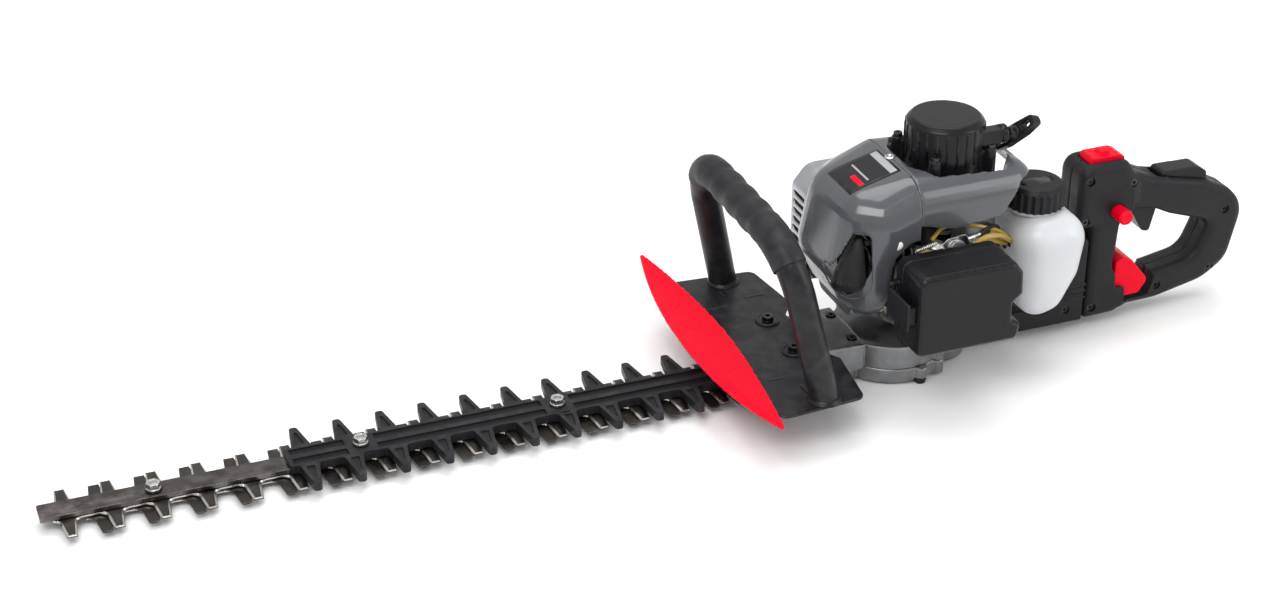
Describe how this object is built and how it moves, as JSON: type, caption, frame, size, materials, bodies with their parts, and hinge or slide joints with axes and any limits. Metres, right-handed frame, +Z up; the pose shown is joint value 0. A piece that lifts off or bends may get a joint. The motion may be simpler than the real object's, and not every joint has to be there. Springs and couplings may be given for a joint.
{
  "type": "hedge trimmer",
  "caption": "Petrol hedge trimmer with two opposed reciprocating blades, a tooth guard, a hand shield, a loop front handle, a recoil-start engine and a swivelling rear handle",
  "frame": {"origin": "centre of the bounding box on the ground, at the bottom of the feet", "axes": "+Z up, -X along the cutter towards its nose, -Y on the side of the air filter box"},
  "size_m": [1.0358, 0.3, 0.2194],
  "materials": {
    "blade_steel": "black oxide, ground cutting edges",
    "bar_steel": "black oxide",
    "zinc_steel": "zinc plated",
    "steel": "machined",
    "dark_screw": "blackened",
    "cast_alloy": "die cast, shot blasted",
    "black_plastic": "fine grain moulding",
    "black_gloss": "smooth moulding",
    "black_paint": "gloss paint",
    "grey_plastic": "smooth moulding",
    "red_plastic": "smooth moulding",
    "milky_plastic": "translucent blow moulding",
    "rubber": "moulded",
    "soft_grip": "soft sleeve",
    "hose": "clear amber",
    "cable_skin": "cable sheath",
    "grey_paint": "silver paint",
    "heat_steel": "heat tinted",
    "foam": "open-cell foam",
    "ceramic": "glazed"
  },
  "bodies": {
    "frame": {"guide_bar": "bar_steel", "tooth_guard": "black_plastic", "blade_bolts": "steel", "blade_bushes": "steel", "blade_washers": "dark_screw", "blade_nuts": "zinc_steel", "gear_case_lower": "cast_alloy", "gear_case_upper": "cast_alloy", "gear_case_screws": "dark_screw", "bearings": "steel", "clutch_housing": "cast_alloy", "rubber_feet": "rubber", "handle_plate": "black_paint", "plate_screws": "dark_screw", "front_handle": "black_paint", "front_grip": "soft_grip", "hand_shield": "red_plastic", "crankcase": "cast_alloy", "engine_cylinder": "cast_alloy", "spark_plug": "ceramic", "plug_boot": "rubber", "muffler": "heat_steel", "muffler_cover": "grey_paint", "ignition_coil": "black_plastic", "starter_housing": "black_gloss", "recoil_spring": "steel", "front_shroud": "grey_plastic", "rear_shroud": "grey_plastic", "cover_screws": "dark_screw", "carburettor": "cast_alloy", "airbox_base": "black_gloss", "air_filter": "foam", "fuel_tank": "milky_plastic", "fuel_lines": "hose", "wiring": "cable_skin", "handle_support": "black_plastic"},
    "upper_blade": {"upper_blade": "blade_steel"},
    "lower_blade": {"lower_blade": "blade_steel"},
    "drive_gear": {"drive_gear": "steel", "eccentrics": "steel"},
    "clutch_drum": {"clutch_drum": "steel"},
    "crankshaft": {"crankshaft": "steel", "flywheel": "cast_alloy", "clutch_shoes": "heat_steel"},
    "piston": {"piston": "cast_alloy", "connecting_rod": "steel"},
    "starter_reel": {"starter_reel": "black_plastic"},
    "pull_handle": {"pull_handle": "black_gloss"},
    "throttle_lever": {"throttle_lever": "zinc_steel"},
    "airbox_cover": {"airbox_cover": "black_gloss"},
    "airbox_clip": {"airbox_clip": "black_plastic"},
    "fuel_cap": {"fuel_cap": "black_plastic"},
    "rear_handle": {"left_handle_half": "black_plastic", "right_handle_half": "black_plastic", "handle_screws": "dark_screw"},
    "throttle_trigger": {"throttle_trigger": "black_gloss"},
    "safety_lever": {"safety_lever": "black_gloss"},
    "stop_switch": {"stop_switch": "red_plastic"},
    "throttle_lock": {"throttle_lock": "red_plastic"},
    "swivel_lock": {"swivel_lock": "red_plastic"}
  },
  "joints": [
    {"name": "upper_blade_slide", "type": "slide", "parent": "frame", "child": "upper_blade", "axis": [1, 0, 0], "range_m": [-0.01335, 0.00415]},
    {"name": "lower_blade_slide", "type": "slide", "parent": "frame", "child": "lower_blade", "axis": [1, 0, 0], "range_m": [-0.00415, 0.01335]},
    {"name": "drive_gear_spin", "type": "hinge", "parent": "frame", "child": "drive_gear", "pos_m": [0.18775, 0, 0.02], "axis": [0, 0, 1], "continuous": true},
    {"name": "clutch_drum_spin", "type": "hinge", "parent": "frame", "child": "clutch_drum", "pos_m": [0.229, 0, 0.04], "axis": [0, 0, 1], "continuous": true},
    {"name": "crankshaft_spin", "type": "hinge", "parent": "frame", "child": "crankshaft", "pos_m": [0.229, 0, 0.1], "axis": [0, 0, 1], "continuous": true},
    {"name": "piston_slide", "type": "slide", "parent": "frame", "child": "piston", "axis": [1, 0, 0], "range_m": [0, 0.028]},
    {"name": "pull_handle_slide", "type": "slide", "parent": "frame", "child": "pull_handle", "axis": [1, 0, 0], "range_m": [0, 0.055]},
    {"name": "starter_reel_spin", "type": "hinge", "parent": "frame", "child": "starter_reel", "pos_m": [0.229, 0, 0.203], "axis": [0, 0, 1], "range_deg": [0, 155]},
    {"name": "throttle_lever_turn", "type": "hinge", "parent": "frame", "child": "throttle_lever", "pos_m": [0.194, -0.056, 0.12], "axis": [0, 0, 1], "range_deg": [0, 36.1]},
    {"name": "airbox_clip_turn", "type": "hinge", "parent": "frame", "child": "airbox_clip", "pos_m": [0.1515, -0.071, 0.1], "axis": [0, 0, -1], "range_deg": [0, 60]},
    {"name": "airbox_cover_slide", "type": "slide", "parent": "frame", "child": "airbox_cover", "axis": [0, -1, 0], "range_m": [0, 0.04]},
    {"name": "fuel_cap_turn", "type": "hinge", "parent": "frame", "child": "fuel_cap", "pos_m": [0.303, -0.025, 0.147], "axis": [0, 0, 1], "continuous": true},
    {"name": "rear_handle_swivel", "type": "hinge", "parent": "frame", "child": "rear_handle", "pos_m": [0.37, 0, 0.05], "axis": [1, 0, 0], "range_deg": [-90, 90]},
    {"name": "throttle_trigger_pull", "type": "hinge", "parent": "rear_handle", "child": "throttle_trigger", "pos_m": [0.413, 0, 0.115], "axis": [0, -1, 0], "range_deg": [0, 18]},
    {"name": "safety_lever_press", "type": "hinge", "parent": "rear_handle", "child": "safety_lever", "pos_m": [0.439, 0, 0.128], "axis": [0, 1, 0], "range_deg": [0, 8]},
    {"name": "stop_switch_slide", "type": "slide", "parent": "rear_handle", "child": "stop_switch", "axis": [1, 0, 0], "range_m": [0, 0.005]},
    {"name": "throttle_lock_press", "type": "slide", "parent": "rear_handle", "child": "throttle_lock", "axis": [0, 1, 0], "range_m": [0, 0.004]},
    {"name": "swivel_lock_turn", "type": "hinge", "parent": "rear_handle", "child": "swivel_lock", "pos_m": [0.399, 0, 0.029], "axis": [0, 1, 0], "range_deg": [0, 10]}
  ],
  "couplings": [
    {"joint": "lower_blade_slide", "follows": "upper_blade_slide", "ratio": -1},
    {"joint": "clutch_drum_spin", "follows": "drive_gear_spin", "ratio": -4},
    {"joint": "starter_reel_spin", "follows": "pull_handle_slide", "rad_per_m": 48.781},
    {"joint": "throttle_lever_turn", "follows": "throttle_trigger_pull", "ratio": 2}
  ]
}
